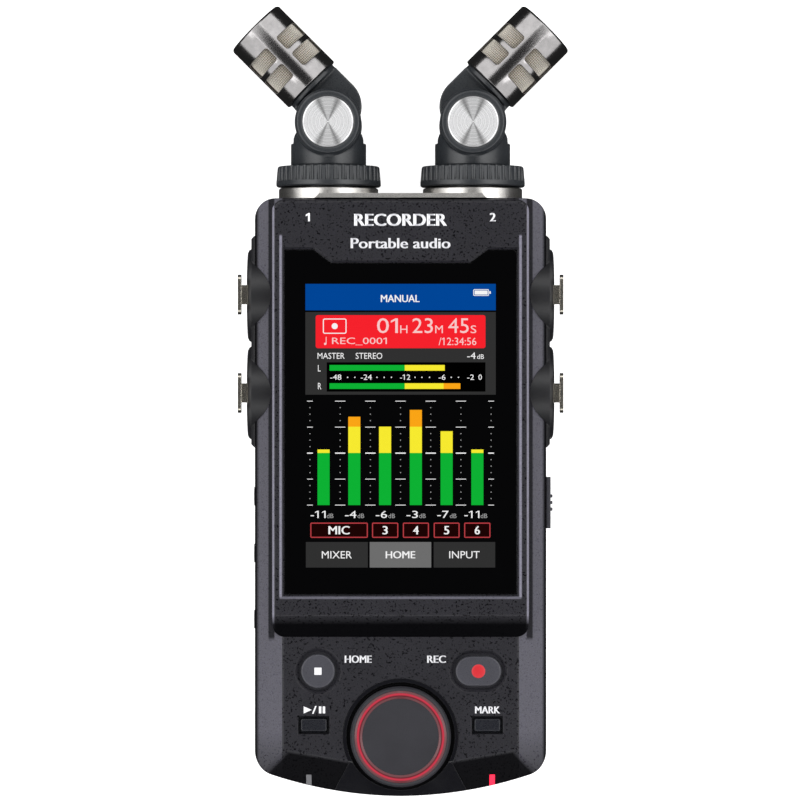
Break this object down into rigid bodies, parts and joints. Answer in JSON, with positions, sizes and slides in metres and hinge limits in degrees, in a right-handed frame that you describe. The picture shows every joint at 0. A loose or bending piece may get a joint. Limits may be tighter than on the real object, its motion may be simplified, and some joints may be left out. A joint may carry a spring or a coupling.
{
  "type": "portable field recorder",
  "caption": "Handheld multitrack audio recorder with touch display, jog dial, two tilting stereo microphones and combo sockets on both sides.",
  "frame": {"origin": "middle of the bounding box on the surface that the recorder lies on, back down", "axes": "+X to the user's right, +Y towards the microphones, +Z out of the display"},
  "size_m": [0.0889, 0.2092, 0.0334],
  "materials": {
    "speckled_plastic": "fine moulded grain with black speckles",
    "case_plastic": "moulded matt",
    "cover_plastic": "moulded matt",
    "side_plastic": "satin",
    "gloss_trim": "gloss",
    "grey_indicator": "translucent grey",
    "red_indicator": "translucent red, lit",
    "cover_glass": "polished",
    "lcd_frame": "display panel",
    "button_plastic": "satin",
    "dial_plastic": "fine matt texture",
    "red_light": "translucent red, lit",
    "steel": "plated",
    "jack_plastic": "glass-filled nylon",
    "circuit_board": "solder mask",
    "cell_wrap": "printed sleeve",
    "nickel": "nickel plated",
    "brass": "turned",
    "collar_metal": "satin anodised",
    "ring_plastic": "satin moulded",
    "spun_aluminium": "spun face",
    "barrel_metal": "satin dark nickel",
    "mesh_metal": "fine woven mesh",
    "capsule_metal": "machined"
  },
  "bodies": {
    "case": {"front_shell": "speckled_plastic", "rear_shell": "case_plastic", "dial_surround": "gloss_trim", "light_pipe_left": "grey_indicator", "light_pipe_right": "red_indicator", "display_bezel": "speckled_plastic", "cover_glass": "cover_glass", "lcd_module": "lcd_frame", "encoder_body": "steel", "side_panel_left": "side_plastic", "side_panel_right": "side_plastic", "xlr_jack_1": "jack_plastic", "xlr_jack_2": "jack_plastic", "xlr_jack_3": "jack_plastic", "xlr_jack_4": "jack_plastic", "headphone_jack": "jack_plastic", "camera_jack": "jack_plastic", "line_jack": "jack_plastic", "usb_socket": "steel", "card_socket": "steel", "power_switch": "jack_plastic", "main_board": "circuit_board", "key_board": "circuit_board", "key_switches": "steel", "battery_tray": "case_plastic", "battery_cells": "cell_wrap", "battery_contacts": "nickel", "tripod_nut": "brass", "speaker": "jack_plastic", "case_screws": "steel", "top_plate": "collar_metal", "mic_collar_left": "collar_metal", "yoke_left": "ring_plastic", "mic_collar_right": "collar_metal", "yoke_right": "ring_plastic"},
    "dial": {"dial_knob": "dial_plastic", "dial_ring": "red_light", "dial_shaft": "steel"},
    "stop_button": {"stop_button": "button_plastic"},
    "record_button": {"record_button": "button_plastic"},
    "play_button": {"play_button": "button_plastic"},
    "mark_button": {"mark_button": "button_plastic"},
    "power_slider": {"power_slider": "button_plastic"},
    "battery_cover": {"battery_cover": "cover_plastic"},
    "lock_ring_left": {"lock_ring_left": "ring_plastic"},
    "lock_ring_right": {"lock_ring_right": "ring_plastic"},
    "xlr_latch_1": {"xlr_latch_1": "nickel"},
    "xlr_latch_2": {"xlr_latch_2": "nickel"},
    "xlr_latch_3": {"xlr_latch_3": "nickel"},
    "xlr_latch_4": {"xlr_latch_4": "nickel"},
    "microphone_left": {"arm_left": "ring_plastic", "pivot_left": "spun_aluminium", "barrel_left": "barrel_metal", "mesh_left": "mesh_metal", "capsule_left": "capsule_metal"},
    "microphone_right": {"arm_right": "ring_plastic", "pivot_right": "spun_aluminium", "barrel_right": "barrel_metal", "mesh_right": "mesh_metal", "capsule_right": "capsule_metal"}
  },
  "joints": [
    {"name": "dial_turn", "type": "hinge", "parent": "case", "child": "dial", "pos_m": [0, -0.0886, 0.029], "axis": [0, 0, 1], "continuous": true},
    {"name": "stop_press", "type": "slide", "parent": "case", "child": "stop_button", "axis": [0, 0, -1], "range_m": [0, 0.0005], "stiffness_N_per_m": 1500},
    {"name": "record_press", "type": "slide", "parent": "case", "child": "record_button", "axis": [0, 0, -1], "range_m": [0, 0.0005], "stiffness_N_per_m": 1500},
    {"name": "play_press", "type": "slide", "parent": "case", "child": "play_button", "axis": [0, 0, -1], "range_m": [0, 0.0005], "stiffness_N_per_m": 1500},
    {"name": "mark_press", "type": "slide", "parent": "case", "child": "mark_button", "axis": [0, 0, -1], "range_m": [0, 0.0005], "stiffness_N_per_m": 1500},
    {"name": "power_slide", "type": "slide", "parent": "case", "child": "power_slider", "axis": [0, 1, 0], "range_m": [-0.003, 0.003]},
    {"name": "latch_1_press", "type": "slide", "parent": "case", "child": "xlr_latch_1", "axis": [1, 0, 0], "range_m": [0, 0.0012], "stiffness_N_per_m": 800},
    {"name": "latch_2_press", "type": "slide", "parent": "case", "child": "xlr_latch_2", "axis": [1, 0, 0], "range_m": [0, 0.0012], "stiffness_N_per_m": 800},
    {"name": "latch_3_press", "type": "slide", "parent": "case", "child": "xlr_latch_3", "axis": [-1, 0, 0], "range_m": [0, 0.0012], "stiffness_N_per_m": 800},
    {"name": "latch_4_press", "type": "slide", "parent": "case", "child": "xlr_latch_4", "axis": [-1, 0, 0], "range_m": [0, 0.0012], "stiffness_N_per_m": 800},
    {"name": "battery_cover_slide", "type": "slide", "parent": "case", "child": "battery_cover", "axis": [0, -1, 0], "range_m": [0, 0.006]},
    {"name": "lock_ring_left_turn", "type": "hinge", "parent": "case", "child": "lock_ring_left", "pos_m": [-0.01915, 0.059, 0.0175], "axis": [0, 1, 0], "range_deg": [-90, 90]},
    {"name": "microphone_left_tilt", "type": "hinge", "parent": "case", "child": "microphone_left", "pos_m": [-0.01915, 0.0734, 0.0175], "axis": [0, 0, -1], "range_deg": [0, 45]},
    {"name": "lock_ring_right_turn", "type": "hinge", "parent": "case", "child": "lock_ring_right", "pos_m": [0.01915, 0.059, 0.0175], "axis": [0, 1, 0], "range_deg": [-90, 90]},
    {"name": "microphone_right_tilt", "type": "hinge", "parent": "case", "child": "microphone_right", "pos_m": [0.01915, 0.0734, 0.0175], "axis": [0, 0, 1], "range_deg": [0, 45]}
  ]
}
